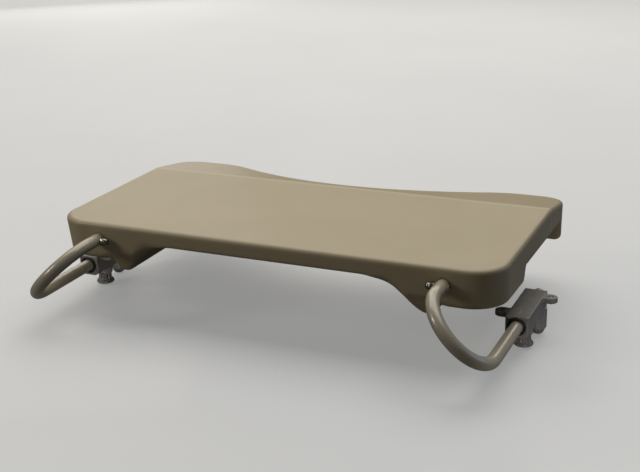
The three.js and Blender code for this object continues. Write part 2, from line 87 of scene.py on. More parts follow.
# ARM is the tube's upper leg, held in the tray. LEG is its lower leg, held in the clamp.
ARM_X = TUBE_LOW[0] + TUBE_R
ARM_Z = TUBE_HIGH[2] - TUBE_R
LEG_X = TUBE_HIGH[0] - TUBE_R
LEG_Z = TUBE_LOW[2] + TUBE_R
LEG_END_Y = TUBE_HIGH[1]
FRONT_Y = TRAY_LOW[1]
KNOB_Y = (KNOB_LOW[1] + KNOB_HIGH[1]) / 2
KNOB_TOP_Z = KNOB_HIGH[2]
KNOB_BOTTOM_Z = KNOB_LOW[2]
POST_X = (CAP_LOW[0] + CAP_HIGH[0]) / 2
POST_Y = (CAP_LOW[1] + CAP_HIGH[1]) / 2
CLAMP_TOP_Z = CLAMP_HIGH[2]
CLAMP_FRONT_Y = CLAMP_LOW[1]
CLAMP_BACK_Y = CLAMP_HIGH[1]
POST_BOTTOM_Z = CLAMP_LOW[2]
CROSS_Y = (NUT_LOW[1] + NUT_HIGH[1]) / 2


# ---- Distance fields ----------------------------------------------------------------------------
# A field is negative inside a solid and close to the distance in millimetres near its surface.


def both(a, b, radius):
    """Where two solids overlap, with the edge between them rounded."""
    corner = np.hypot(np.maximum(radius + a, 0), np.maximum(radius + b, 0))
    return np.minimum(-radius, np.maximum(a, b)) + corner


def either(a, b, radius):
    """Two solids joined, with a fillet between them."""
    corner = np.hypot(np.maximum(radius - a, 0), np.maximum(radius - b, 0))
    return np.maximum(radius, np.minimum(a, b)) - corner


def cut(a, b, radius):
    """Solid a without solid b, with the new edge rounded."""
    return both(a, -b, radius)


def span(value, low, high):
    """Between two parallel planes."""
    return np.abs(value - (low + high) / 2) - (high - low) / 2


def rod(u, v, along, radius, low, high, edge):
    """A round bar centred on u = v = 0, with rounded rims."""
    return both(np.hypot(u, v) - radius, span(along, low, high), edge)


def smooth_step(low, high, value):
    t = np.clip((value - low) / (high - low), 0, 1)
    return t * t * (3 - 2 * t)


def soft_max(a, b, width):
    """The higher of two heights, blended over about `width`."""
    gap = np.clip(0.5 + 0.5 * (a - b) / width, 0, 1)
    return b + (a - b) * gap + width * gap * (1 - gap)


MARGIN_CELLS = 1.5
SETTLE_ROUNDS = 4
SLOPE_STEP_CELLS = 0.02
LONGEST_STEP_CELLS = 0.5
LEAST_SLOPE_SQUARED = 0.05


def mesh_from_field(field, low, high, cell):
    """Vertices and quads of the surface where field(x, y, z) is zero, by surface nets."""
    low = np.array(low, float) - MARGIN_CELLS * cell
    counts = np.ceil((np.array(high, float) + MARGIN_CELLS * cell - low) / cell).astype(int) + 1
    axes = [low[i] + cell * np.arange(counts[i]) for i in range(3)]
    values = field(*np.meshgrid(*axes, indexing="ij"))
    cells = counts - 1
    total = np.zeros((cells.prod(), 3))
    count = np.zeros(cells.prod())
    quads = []
    for axis in range(3):
        lower = np.take(values, range(counts[axis] - 1), axis)
        upper = np.take(values, range(1, counts[axis]), axis)
        index = np.argwhere((lower < 0) != (upper < 0))
        near = lower[tuple(index.T)]
        far = upper[tuple(index.T)]
        point = index.astype(float)
        point[:, axis] += near / (near - far)
        b, c = (axis + 1) % 3, (axis + 2) % 3
        around = []
        for shift_b, shift_c in ((0, 0), (1, 0), (1, 1), (0, 1)):
            owner = index.copy()
            owner[:, b] -= shift_b
            owner[:, c] -= shift_c
            flat = np.ravel_multi_index(owner.T, cells)
            np.add.at(total, flat, point)
            np.add.at(count, flat, 1)
            around.append(flat)
        ring = np.stack(around, 1)
        ring[near > 0] = ring[near > 0][:, ::-1]
        quads.append(ring)
    used = np.flatnonzero(count)
    number = np.full(cells.prod(), -1)
    number[used] = np.arange(len(used))
    verts = low + cell * total[used] / count[used, None]
    for _ in range(SETTLE_ROUNDS):
        verts = verts - settle_step(field, verts, cell)
    return verts, number[np.concatenate(quads)][:, ::-1]


def settle_step(field, verts, cell):
    """How far each vertex is from the field's surface, along its slope."""
    h = cell * SLOPE_STEP_CELLS
    value = field(*verts.T)
    slope = np.stack(
        [(field(*(verts + h * e).T) - field(*(verts - h * e).T)) / (2 * h) for e in np.eye(3)], 1
    )
    step = value[:, None] * slope / np.maximum((slope**2).sum(1), LEAST_SLOPE_SQUARED)[:, None]
    length = np.linalg.norm(step, axis=1)[:, None]
    return step * np.minimum(1, LONGEST_STEP_CELLS * cell / np.maximum(length, 1e-9))


# ---- Turned and swept meshes --------------------------------------------------------------------


def filleted(corners, steps=5):
    """A profile through corners (radius, height, fillet), with each fillet as a short arc."""
    points = []
    for i, (r, z, fillet) in enumerate(corners):
        here = np.array([r, z], float)
        if fillet <= 0:
            points.append(here)
            continue
        before = np.array(corners[i - 1][:2], float) - here
        after = np.array(corners[(i + 1) % len(corners)][:2], float) - here
        before /= np.linalg.norm(before)
        after /= np.linalg.norm(after)
        half = math.acos(np.clip(before @ after, -1, 1)) / 2
        start = here + before * fillet / math.tan(half)
        end = here + after * fillet / math.tan(half)
        for step in range(steps + 1):
            t = step / steps
            points.append((1 - t) ** 2 * start + 2 * t * (1 - t) * here + t**2 * end)
    return np.array(points)


def turned(profile, sides=64, groove=None):
    """Vertices and faces of a profile (radius, height) turned about Z, listed from the bottom up.
    It starts and ends on the axis, or closes on itself. `groove(angle, height)` takes depth off."""
    angles = np.arange(sides) * 2 * math.pi / sides
    closed = profile[0][0] > 1e-6
    verts, rows = [], []
    for radius, height in profile:
        if radius < 1e-6:
            rows.append([len(verts)] * sides)
            verts.append((0, 0, height))
            continue
        rows.append(list(range(len(verts), len(verts) + sides)))
        for angle in angles:
            r = radius - (groove(angle, height) if groove else 0)
            verts.append((r * math.cos(angle), r * math.sin(angle), height))
    faces = []
    pairs = list(zip(rows, rows[1:] + rows[:1] if closed else rows[1:]))
    for lower, upper in pairs:
        for i in range(sides):
            j = (i + 1) % sides
            face = [lower[i], lower[j], upper[j], upper[i]]
            faces.append(list(dict.fromkeys(face)))
    return np.array(verts, float), faces


def swept_tube(centres, tangents, plane_normal, outer, inner, sides=48):
    """A hollow tube along stations that lie in one plane."""
    angles = np.arange(sides) * 2 * math.pi / sides
    across = np.cross(plane_normal, tangents)
    verts = []
    for radius in (outer, inner):
        for centre, side in zip(centres, across):
            ring = radius * (np.outer(np.cos(angles), side) + np.outer(np.sin(angles), plane_normal))
            verts.append(centre + ring)
    count = len(centres)
    faces = []
    rings = list(range(count)) + list(range(2 * count - 1, count - 1, -1))
    for a, b in zip(rings, rings[1:] + rings[:1]):
        for i in range(sides):
            j = (i + 1) % sides
            faces.append([a * sides + i, a * sides + j, b * sides + j, b * sides + i])
    return np.concatenate(verts), faces


# ---- Pieces -------------------------------------------------------------------------------------

materials = {}


def add_piece(name, verts, faces, body, nodes, slot):
    """A smooth mesh object in the row frame that rides on a body and stands for CAD nodes."""
    mesh = bpy.data.meshes.new(name)
    mesh.from_pydata((np.asarray(verts) * MM).tolist(), [], [list(map(int, f)) for f in faces])
    mesh.validate()
    mesh.polygons.foreach_set("use_smooth", [True] * len(mesh.polygons))
    mesh.update()
    piece = bpy.data.objects.new(name, mesh)
    bpy.context.scene.collection.objects.link(piece)
    mesh.materials.append(materials[slot])
    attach(piece, body)
    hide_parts(*nodes)
    return piece


def keep_edges_crisp(piece, degrees):
    """Flat faces stay flat where they meet at more than this angle."""
    piece.data.set_sharp_from_angle(angle=math.radians(degrees))


def add_pair(label, verts, faces, bodies, slot, crisp=35):
    """The right-hand piece and its mirror image. `bodies` names a body, with {side} if it has one
    for each side, and `crisp` is the angle above which edges stay sharp, or 0 for a smooth piece."""
    verts = np.asarray(verts, float)
    for side, sign in SIDES.items():
        placed = verts * (sign, 1, 1)
        order = faces if sign > 0 else [list(face)[::-1] for face in faces]
        body = bodies.format(side=side)
        piece = add_piece(f"{side}_{label}_fine", placed, order, body, [f"{side}_{label}"], slot)
        if crisp:
            keep_edges_crisp(piece, crisp)


def moved(verts, x=0, y=0, z=0):
    return np.asarray(verts) + (x, y, z)


def laid_inboard(verts):
    """Turns a Z-axis piece of the right side so that its top points to -X."""
    x, y, z = np.asarray(verts, float).T
    return np.stack([-z, y, x], 1)


def laid_along_y(verts):
    """Turns a Z-axis piece so that its top points to +Y."""
    x, y, z = np.asarray(verts, float).T
    return np.stack([x, z, -y], 1)


# ---- Tray ---------------------------------------------------------------------------------------

# Places across are measured from the middle, and places in depth (v) from the top's front edge.
TRAY_DEPTH = 420.0
FRONT_HALF = TRAY_HIGH[0]
END_TAPER = 2.0
FRONT_DRAFT = 0.105
END_DRAFT = 0.012
FRONT_CORNER_R = 51.0
BOTTOM_CORNER_R = 55.0
BOTTOM_CORNER_DEPTH = 52.0
BACK_CORNER_R = 42.0
BELLY_HALF = 247.0
BELLY_DEPTH = 96.0
BELLY_CORNER_R = 22.0

# The flat top turns down along a crease into the rear band.
CREASE_V = 303.0
CREASE_SOFTNESS = 1.5
BAND_SLOPE = 0.157

# Under the top are a thin middle, an S-curve down to a runner on each side, a pod at the front of
# each end, and a notch for the armrest between the pod and the rear foot.
S_CURVE_X = (149.0, 189.0, 205.0, 240.0)
S_CURVE_Z = (-27.3, -27.3, -50.0, -82.5)
POD_Z = -60.5
POD_FALL = 0.04
RUNNER_STARTS_V = (4, 30)
RUNNER_ENDS_X = (252, 268)
RUNNER_DEPTH = -TRAY_LOW[2] + 2.5
FOOT_DEPTH = -TRAY_LOW[2] - 1.5
NOTCH_CEILING = -44.0
NOTCH_FALL = 5.0
NOTCH_FRONT = 147.0
NOTCH_BACK = 375.0
NOTCH_FRONT_ROUND = 9
NOTCH_BACK_ROUND = 8
UNDERSIDE_BLEND = 6.0
UNDERSIDE_SLOPE_STEP = 0.2

# Radius of the top edge, and of the bottom edge from the middle outwards.
TOP_EDGE_R = 6.5
MIDDLE_EDGE_R = 5.0
RUNNER_EDGE_R = 19.0
END_EDGE_R = 10.0
MIDDLE_TO_RUNNER_X = (165, 200)
RUNNER_TO_END_X = (250, 285)
TRAY_CELL = 3.0

# Blind bores for the tubes, and stepped wells up to the screws that hold them.
BORE_R = TUBE_R + 0.35
BORE_LENGTH = 200
CUTTER_STARTS = -30
WELL = [(0, -40, 0), (5.8, -40, 0), (5.6, 3.4, 0), (2.7, 3.5, 0), (2.7, 12, 0), (0, 12, 0)]
WELL_SIDES = 40


def tray_plan(x, v, below):
    """Distance from the tray's outline in plan, this far below the top edge."""
    share = np.clip(below / BOTTOM_CORNER_DEPTH, 0, 1)
    corner = FRONT_CORNER_R + (BOTTOM_CORNER_R - FRONT_CORNER_R) * share
    half = FRONT_HALF - END_TAPER * v / TRAY_DEPTH - END_DRAFT * below
    front = FRONT_DRAFT * below
    back = TRAY_DEPTH - END_DRAFT * below
    radius = np.where(v < TRAY_DEPTH / 2, corner, BACK_CORNER_R)
    qx = x - half + radius
    qy = span(v, front, back) + radius
    box = np.hypot(np.maximum(qx, 0), np.maximum(qy, 0)) + np.minimum(np.maximum(qx, qy), 0) - radius
    belly_v = back - BELLY_DEPTH * (1 - (x / BELLY_HALF) ** 2)
    belly_slope = 2 * BELLY_DEPTH * x / BELLY_HALF**2
    belly = (v - belly_v) / np.sqrt(1 + belly_slope**2)
    return both(box, belly, BELLY_CORNER_R)


def tray_top(v):
    """Flat top that turns down at the crease into the rear band."""
    over = (v - CREASE_V) / CREASE_SOFTNESS
    return -BAND_SLOPE * CREASE_SOFTNESS * np.logaddexp(0, over)


def bezier(points, t):
    a, b, c, d = points
    return a * (1 - t) ** 3 + 3 * b * t * (1 - t) ** 2 + 3 * c * t**2 * (1 - t) + d * t**3


S_STEPS = np.linspace(0, 1.25, 60)  # past 1, so that the curve runs on down below the runner


def tray_underside(x, v):
    """Height of the underside: thin middle, S-curves down to the runners, pods and notched ends."""
    middle = np.interp(x, bezier(S_CURVE_X, S_STEPS), bezier(S_CURVE_Z, S_STEPS))
    pod = POD_Z - POD_FALL * v
    runner = pod + (-RUNNER_DEPTH - pod) * smooth_step(*RUNNER_STARTS_V, v)
    ceiling = NOTCH_CEILING - NOTCH_FALL * (v - NOTCH_FRONT) / (NOTCH_BACK - NOTCH_FRONT)
    opens = smooth_step(NOTCH_FRONT - NOTCH_FRONT_ROUND, NOTCH_FRONT + NOTCH_FRONT_ROUND, v)
    closes = smooth_step(NOTCH_BACK - NOTCH_BACK_ROUND, NOTCH_BACK + NOTCH_BACK_ROUND, v)
    end = pod + (ceiling - pod) * opens
    end = end + (-FOOT_DEPTH - ceiling) * closes
    floor = runner + (end - runner) * smooth_step(*RUNNER_ENDS_X, x)
    return soft_max(middle, floor, UNDERSIDE_BLEND)


def tray_field(x, y, z):
    """The whole tray, before its bores and wells are drilled."""
    x = np.abs(x)
    v = y - FRONT_Y
    wall = tray_plan(x, v, np.clip(-z - TOP_EDGE_R, 0, None))
    top = (z - tray_top(v)) / math.sqrt(1 + BAND_SLOPE**2)
    h = UNDERSIDE_SLOPE_STEP
    low = tray_underside(x, v)
    slope_x = (tray_underside(x + h, v) - tray_underside(x - h, v)) / (2 * h)
    slope_v = (tray_underside(x, v + h) - tray_underside(x, v - h)) / (2 * h)
    under = (low - z) / np.sqrt(1 + slope_x**2 + slope_v**2)
    edge_r = MIDDLE_EDGE_R + (RUNNER_EDGE_R - MIDDLE_EDGE_R) * smooth_step(*MIDDLE_TO_RUNNER_X, x)
    edge_r = edge_r + (END_EDGE_R - RUNNER_EDGE_R) * smooth_step(*RUNNER_TO_END_X, x)
    return both(both(wall, top, TOP_EDGE_R), under, edge_r)


def cutter(name, verts, faces):
    """A mesh to drill with, which is not one of the pieces."""
    mesh = bpy.data.meshes.new(name)
    mesh.from_pydata((np.asarray(verts) * MM).tolist(), [], [list(f) for f in faces])
    tool = bpy.data.objects.new(name, mesh)
    bpy.context.scene.collection.objects.link(tool)
    return tool


def drill(piece, tools):
    """Cuts the tools out of a piece and removes them."""
    for tool in tools:
        modifier = piece.modifiers.new("bore", "BOOLEAN")
        modifier.operation = "DIFFERENCE"
        modifier.solver = "EXACT"
        modifier.object = tool
    bpy.context.view_layer.update()
    evaluated = piece.evaluated_get(bpy.context.evaluated_depsgraph_get())
    drilled = bpy.data.meshes.new_from_object(evaluated)
    piece.modifiers.clear()
    piece.data = drilled
    for tool in tools:
        bpy.data.objects.remove(tool)


def build_tray():
    low = (-FRONT_HALF, FRONT_Y, -RUNNER_DEPTH)
    high = (FRONT_HALF, FRONT_Y + TRAY_DEPTH, 0)
    verts, faces = mesh_from_field(tray_field, low, high, TRAY_CELL)
    tray = add_piece("tray_moulding", verts, faces, "tray", ["tray_body"], "tray_moulding")
    bore = [(0, CUTTER_STARTS, 0), (BORE_R, CUTTER_STARTS, 0), (BORE_R, BORE_LENGTH, 0), (0, BORE_LENGTH, 0)]
    bore_verts, bore_faces = turned(filleted(bore))
    well_verts, well_faces = turned(filleted(WELL), WELL_SIDES)
    tools = []
    for side, sign in SIDES.items():
        placed = moved(laid_along_y(bore_verts), sign * ARM_X, FRONT_Y, ARM_Z)
        tools.append(cutter(f"{side}_bore", placed, bore_faces))
        for place in ("front", "rear"):
            screw_low, screw_high = cad_box(f"{side}_tube_screw_{place}")
            centre = (screw_low + screw_high) / 2
            placed = moved(well_verts, centre[0], centre[1], screw_low[2])
            tools.append(cutter(f"{side}_{place}_well", placed, well_faces))
    drill(tray, tools)


# ---- Bent tubes and their fixings ---------------------------------------------------------------

TUBE_IN_TRAY = 190.0
BEND_STEPS = 48
ARM_STEPS = 4
LEG_STEPS = 5


def build_arm_tubes():
    """Out of the tray, round a half circle in a leaning plane, and back into the clamp."""
    out = np.array([LEG_X - ARM_X, 0, LEG_Z - ARM_Z])
    bend_r = np.linalg.norm(out) / 2
    out = out / (2 * bend_r)
    bend_y = TUBE_LOW[1] + TUBE_R + bend_r
    inner_end_y = FRONT_Y + TUBE_IN_TRAY
    start = np.array([ARM_X, 0, ARM_Z])
    centre = start + out * bend_r
    centres = [start + (0, y, 0) for y in np.linspace(inner_end_y, bend_y, ARM_STEPS + 1)[:-1]]
    tangents = [np.array([0, -1.0, 0])] * ARM_STEPS
    for turn in np.linspace(0, math.pi, BEND_STEPS + 1):
        offset = -bend_r * math.cos(turn) * out - (0, bend_r * math.sin(turn) - bend_y, 0)
        centres.append(centre + offset)
        tangents.append(out * math.sin(turn) - np.array([0, math.cos(turn), 0]))
    end = start + 2 * bend_r * out
    centres += [end + (0, y, 0) for y in np.linspace(bend_y, LEG_END_Y, LEG_STEPS + 1)[1:]]
    tangents += [np.array([0, 1.0, 0])] * LEG_STEPS
    normal = np.cross(out, (0, 1, 0))
    verts, faces = swept_tube(np.array(centres), np.array(tangents), normal, TUBE_R, TUBE_R - TUBE_WALL)
    faces = [face[::-1] for face in faces]  # so that they face out
    add_pair("arm_tube", verts, faces, "tray", "arm_paint", crisp=60)


PLUG_CLEARANCE = 0.15


def build_end_plugs():
    inner = TUBE_R - TUBE_WALL - PLUG_CLEARANCE
    outer = TUBE_R - PLUG_CLEARANCE
    profile = filleted([(0, -12, 0), (inner - 0.8, -12, 0.6), (inner, -10, 0), (inner, 0.1, 0),
                        (outer, 0.1, 0.3), (outer, 2.9, 1.6), (0, 2.9, 0)])
    verts, faces = turned(profile, 48)
    placed = moved(laid_along_y(verts), LEG_X, LEG_END_Y, LEG_Z)
    add_pair("tube_end_plug", placed, faces, "tray", "black_plastic")


def hexagon(x, y, flats):
    """Distance from a hexagonal bar of this width across flats."""
    sides = [np.cos(a) * x + np.sin(a) * y for a in (0, math.pi / 3, 2 * math.pi / 3)]
    return np.max(np.abs(sides), axis=0) - flats / 2


NUT_FLATS = 11.0
NUT_HEX_HEIGHT = 4.6
NUT_CHAMFER_R = 5.75
NUT_TOP_CHAMFER_R = 5.7
NUT_TOP_CHAMFER_Z = 4.4
NUT_DOME_R = 5.35
NUT_DOME_Z = 6.4
NUT_HOLE_R = 3.1
NUT_HOLE_DEPTH = 8.5
NUT_LOW_CORNER, NUT_HIGH_CORNER = (-6.5, -6.5, 0), (6.5, 6.5, 12)
NUT_CELL = 0.34
CHAMFER_ACROSS, CHAMFER_UP = 0.5, 0.866  # a chamfer 30 degrees off the end face


def cap_nut_field(x, y, z):
    """A chamfered hexagon that carries a dome, with its seat at z = 0 and a blind hole."""
    r = np.hypot(x, y)
    bottom = (r * CHAMFER_ACROSS - z * CHAMFER_UP) - NUT_CHAMFER_R * CHAMFER_ACROSS
    above = z - NUT_TOP_CHAMFER_Z
    top = (r * CHAMFER_ACROSS + above * CHAMFER_UP) - NUT_TOP_CHAMFER_R * CHAMFER_ACROSS
    body = both(hexagon(x, y, NUT_FLATS), span(z, 0, NUT_HEX_HEIGHT), 0.25)
    body = both(body, np.maximum(bottom, top), 0.2)
    dome = np.hypot(r, np.maximum(z - NUT_DOME_Z, 0)) - NUT_DOME_R
    dome = both(dome, 1 - z, 0.1)
    nut = either(body, dome, 0.5)
    hole = rod(x, y, z, NUT_HOLE_R, -2, NUT_HOLE_DEPTH, 0.2)
    return cut(nut, hole, 0.2)


BOLT_R = 2.95
BOLT_HEAD_R = 4.6
BOLT_PAST_TUBE = 8
WASHER_HOLE_R = 3.1
WASHER_R = 5.7
WASHER_THICK = 1.2
SEAT_GAP = 0.1


def build_cross_bolts():
    length = 2 * TUBE_R + BOLT_PAST_TUBE
    profile = filleted([(0, -1.5, 0), (2.8, -1.4, 1.2), (BOLT_HEAD_R, -0.6, 0.4), (BOLT_HEAD_R, 0, 0.2),
                        (BOLT_R, 0, 0), (BOLT_R, length, 0.6), (0, length, 0)])
    verts, faces = turned(profile, 48)
    placed = moved(laid_inboard(verts), ARM_X + TUBE_R + SEAT_GAP, CROSS_Y, ARM_Z)
    add_pair("cross_bolt", placed, faces, "tray", "arm_paint")
    ring = filleted([(WASHER_HOLE_R, 0, 0.2), (WASHER_R, 0, 0.35),
                     (WASHER_R, WASHER_THICK, 0.45), (WASHER_HOLE_R, WASHER_THICK, 0.2)])
    verts, faces = turned(ring, 48)
    placed = moved(laid_inboard(verts), ARM_X - TUBE_R - SEAT_GAP, CROSS_Y, ARM_Z)
    add_pair("bolt_washer", placed, faces, "tray", "chrome")
    verts, faces = mesh_from_field(cap_nut_field, NUT_LOW_CORNER, NUT_HIGH_CORNER, NUT_CELL)
    placed = moved(laid_inboard(verts), NUT_HIGH[0], CROSS_Y, ARM_Z)
    add_pair("cap_nut", placed, faces, "tray", "chrome", crisp=0)


SCREW_CELL = 0.4
RECESS_HALF = 0.55
RECESS_REACH = 2.4
RECESS_DEPTH = 1.7
HEAD_DOME = 1.25  # the ball that rounds the head gets as wide as the head this many head heights up

# label: (body, head height, shank radius)
SCREWS = {"tube_screw": ("tray", 3.2, 2.4), "mount_screw": ("clamps", 3.4, 3.0)}


def pan_screw_field(shank_r, length, head_r, head_height):
    """A cross-recessed pan-head screw that points up, with the seat of its head at z = 0."""
    dome = head_height * HEAD_DOME
    ball_r = (head_r**2 + dome**2) / (2 * head_height * HEAD_DOME)

    def field(x, y, z):
        r = np.hypot(x, y)
        ball = np.hypot(r, z - (ball_r - head_height)) - ball_r
        head = both(both(r - head_r, ball, 0.5), z, 0.25)
        shank = both(r - shank_r, span(z, -1, length), 0.4)
        screw = either(head, shank, 0.3)
        arm_x = both(span(x, -RECESS_HALF, RECESS_HALF), span(y, -RECESS_REACH, RECESS_REACH), 0.2)
        arm_y = both(span(y, -RECESS_HALF, RECESS_HALF), span(x, -RECESS_REACH, RECESS_REACH), 0.2)
        recess = both(np.minimum(arm_x, arm_y), z + head_height - RECESS_DEPTH, 0.2)
        return cut(screw, recess, 0.15)

    return field


def build_screws():
    for place in ("front", "rear"):
        for label, (body, head, shank_r) in SCREWS.items():
            low, high = cad_box(f"right_{label}_{place}")
            head_r = (high[0] - low[0]) / 2
            length = high[2] - low[2] - head
            field = pan_screw_field(shank_r, length, head_r, head)
            field_low, field_high = (-head_r, -head_r, -head), (head_r, head_r, length)
            verts, faces = mesh_from_field(field, field_low, field_high, SCREW_CELL)
            centre = (low + high) / 2
            placed = moved(verts, centre[0], centre[1], low[2] + head)
            add_pair(f"{label}_{place}", placed, faces, body, "zinc_steel", crisp=0)


# ---- Clamps and locks ---------------------------------------------------------------------------

CLAMP_HALF = 17.0
CLAMP_BOTTOM_Z = LEG_Z - 17.8
CLAMP_BOTTOM_EDGE_R = 9.0
BOSS_BOTTOM_Z = KNOB_TOP_Z + 0.6
BOSS_R = 13.0
POST_R = 13.0
POST_FLUTES = 10
POST_FLUTE_DEPTH = 0.8
POST_REACHES_Z = LEG_Z - 8
LINER_R = 11.6
LINER_LENGTH = 67.2
LINER_FLANGE_R = LINER_R + 2.2
LINER_FLANGE = 2.1
LINER_CLEARANCE = 0.2
LUG_REACH = 27.0
LUG_R = 10.0
LUG_THICK = 8.0
LUG_HOLE_R = 3.3
CAP_RECESS_R = 8.5
CAP_RECESS_DEPTH = 14
INSERT_BORE_R = 4.0
INSERT_R = 6.5
INSERT_HOLE_R = 6.65
INSERT_HOLE_DEPTH = 40
SCREW_R = 3.9  # the set screw and the knob's stud share a thread
SOCKET_DEPTH = 3.5
CLAMP_CELL = 1.3
LUG_BOXES = {
    -LUG_REACH: cad_box("right_mount_screw_front"),
    LUG_REACH: cad_box("right_mount_screw_rear"),
}


def clamp_field(x, y, z):
    """The housing with its knob boss, fluted post and two screw lugs, less its bore and holes."""
    u = x - LEG_X
    w = z - LEG_Z
    flat_top = z - CLAMP_TOP_Z
    sides = span(u, -CLAMP_HALF, CLAMP_HALF)
    section = both(sides, CLAMP_BOTTOM_Z - z, CLAMP_BOTTOM_EDGE_R)
    housing = both(both(section, flat_top, 1.2), span(y, CLAMP_FRONT_Y, CLAMP_BACK_Y), 1.6)
    boss = rod(u, y - KNOB_Y, z, BOSS_R, BOSS_BOTTOM_Z, LEG_Z, 1.4)
    body = either(housing, boss, 3.0)
    angle = np.arctan2(y - POST_Y, x - POST_X)
    scallop = POST_FLUTE_DEPTH * (0.5 + 0.5 * np.cos(POST_FLUTES * angle)) ** 1.5
    post_r = POST_R - scallop * smooth_step(0, 4, CLAMP_BOTTOM_Z - 1 - z)
    from_post = np.hypot(x - POST_X, y - POST_Y)
    post = both(from_post - post_r, span(z, POST_BOTTOM_Z, POST_REACHES_Z), 1.0)
    body = either(body, post, 2.0)
    for reach, (low, high) in LUG_BOXES.items():
        lug_y = (low[1] + high[1]) / 2
        disc = np.hypot(u - reach, y - lug_y) - LUG_R
        neck = both(span(u, min(reach, 0), max(reach, 0)), span(y, lug_y - LUG_R, lug_y + LUG_R), 0.1)
        lug = both(np.minimum(disc, neck), span(z, CLAMP_TOP_Z - LUG_THICK, CLAMP_TOP_Z), 1.2)
        body = either(body, lug, 1.5)
        body = cut(body, np.hypot(u - reach, y - lug_y) - LUG_HOLE_R, 0.5)
    body = cut(body, np.hypot(u, w) - (LINER_R + LINER_CLEARANCE), 0.8)
    recess = both(from_post - CAP_RECESS_R, z - POST_BOTTOM_Z - CAP_RECESS_DEPTH, 0.3)
    body = cut(body, recess, 0.5)
    insert = both(np.hypot(u, y - KNOB_Y) - INSERT_HOLE_R, z - BOSS_BOTTOM_Z - INSERT_HOLE_DEPTH, 0.3)
    return cut(body, insert, 0.5)


def build_clamps():
    verts, faces = mesh_from_field(clamp_field, CLAMP_LOW, CLAMP_HIGH, CLAMP_CELL)
    add_pair("clamp_body", verts, faces, "clamps", "clamp_housing", crisp=0)

    inner = TUBE_R + LINER_CLEARANCE
    sleeve = filleted([(inner, 0, 0.8), (LINER_FLANGE_R, 0, 0.8), (LINER_FLANGE_R, LINER_FLANGE, 0.3),
                       (LINER_R, LINER_FLANGE, 0), (LINER_R, LINER_LENGTH, 0.3), (inner, LINER_LENGTH, 0.3)])
    verts, faces = turned(sleeve, 64)
    liner_low = cad_box("right_tube_liner")[0]
    placed = moved(laid_along_y(verts), LEG_X, liner_low[1], LEG_Z)
    add_pair("tube_liner", placed, faces, "clamps", "nylon")

    low, high = cad_box("right_stud_insert")
    bottom, top = low[2], high[2]
    ring = filleted([(INSERT_BORE_R, bottom, 0.3), (INSERT_R, bottom, 0.3),
                     (INSERT_R, top, 0.3), (INSERT_BORE_R, top, 0.3)])
    verts, faces = turned(ring, 48)
    add_pair("stud_insert", moved(verts, LEG_X, KNOB_Y), faces, "clamps", "brass")

    low, high = cad_box("right_set_screw")
    bottom, top = low[2], high[2]
    socket = bottom + SOCKET_DEPTH
    grub = filleted([(0, socket, 0), (1.9, socket, 0.2), (2.2, bottom, 0.2), (SCREW_R, bottom, 0.5),
                     (SCREW_R, top, 0.5), (0, top, 0)])
    verts, faces = turned(grub, 48)
    add_pair("set_screw", moved(verts, LEG_X, POST_Y), faces, "clamps", "zinc_steel")


CAP_R = 10.0
CAP_PLUG_R = 8.2
CAP_PLUG_LENGTH = 7


def build_post_caps():
    top = POST_BOTTOM_Z - SEAT_GAP
    bottom = CAP_LOW[2]
    plug = top + CAP_PLUG_LENGTH
    profile = filleted([(0, bottom, 0), (4.6, bottom + 0.2, 2.0), (8.2, bottom + 2.4, 2.6),
                        (CAP_R, bottom + 6.4, 2.5), (CAP_R, top, 0.4),
                        (CAP_PLUG_R, top, 0), (CAP_PLUG_R, plug, 0.5), (0, plug, 0)])
    verts, faces = turned(profile, 72)
    add_pair("post_cap", moved(verts, POST_X, POST_Y), faces, "clamps", "knob_plastic")


KNOB_FLUTES = 12
KNOB_FLUTE_DEPTH = 1.25
KNOB_SIDES_PER_FLUTE = 14
KNOB_SOCKET_R = 4.1
KNOB_SOCKET_DEPTH = 11
KNOB_ROW = 1.2  # least length of a row of faces on the fluted outside
KNOB_OUTSIDE_R = 9.4  # the profile is on the outside where it is wider than this
PAD_R = 6.5
PAD_CUP_R = 4.2
PAD_CUP_DEPTH = 3.4


def knob_groove(angle, z):
    """Depth of the flutes, which fade out towards the rim and halfway towards the top."""
    fade_in = smooth_step(KNOB_BOTTOM_Z + 3.0, KNOB_BOTTOM_Z + 8.7, z)
    fade_out = 1 - 0.5 * smooth_step(KNOB_TOP_Z - 1.2, KNOB_TOP_Z, z)
    depth = KNOB_FLUTE_DEPTH * fade_in * fade_out
    return depth * (0.5 + 0.5 * math.cos(KNOB_FLUTES * angle)) ** 1.3


def with_rows(profile):
    """The profile with more points along its outside, so that the flutes have rows to bend."""
    rows = []
    for a, b in zip(profile, profile[1:]):
        outside = a[0] > KNOB_OUTSIDE_R and b[0] > KNOB_OUTSIDE_R
        count = max(1, int(np.linalg.norm(b - a) / KNOB_ROW)) if outside else 1
        rows += [a + (b - a) * k / count for k in range(count)]
    return rows + [profile[-1]]


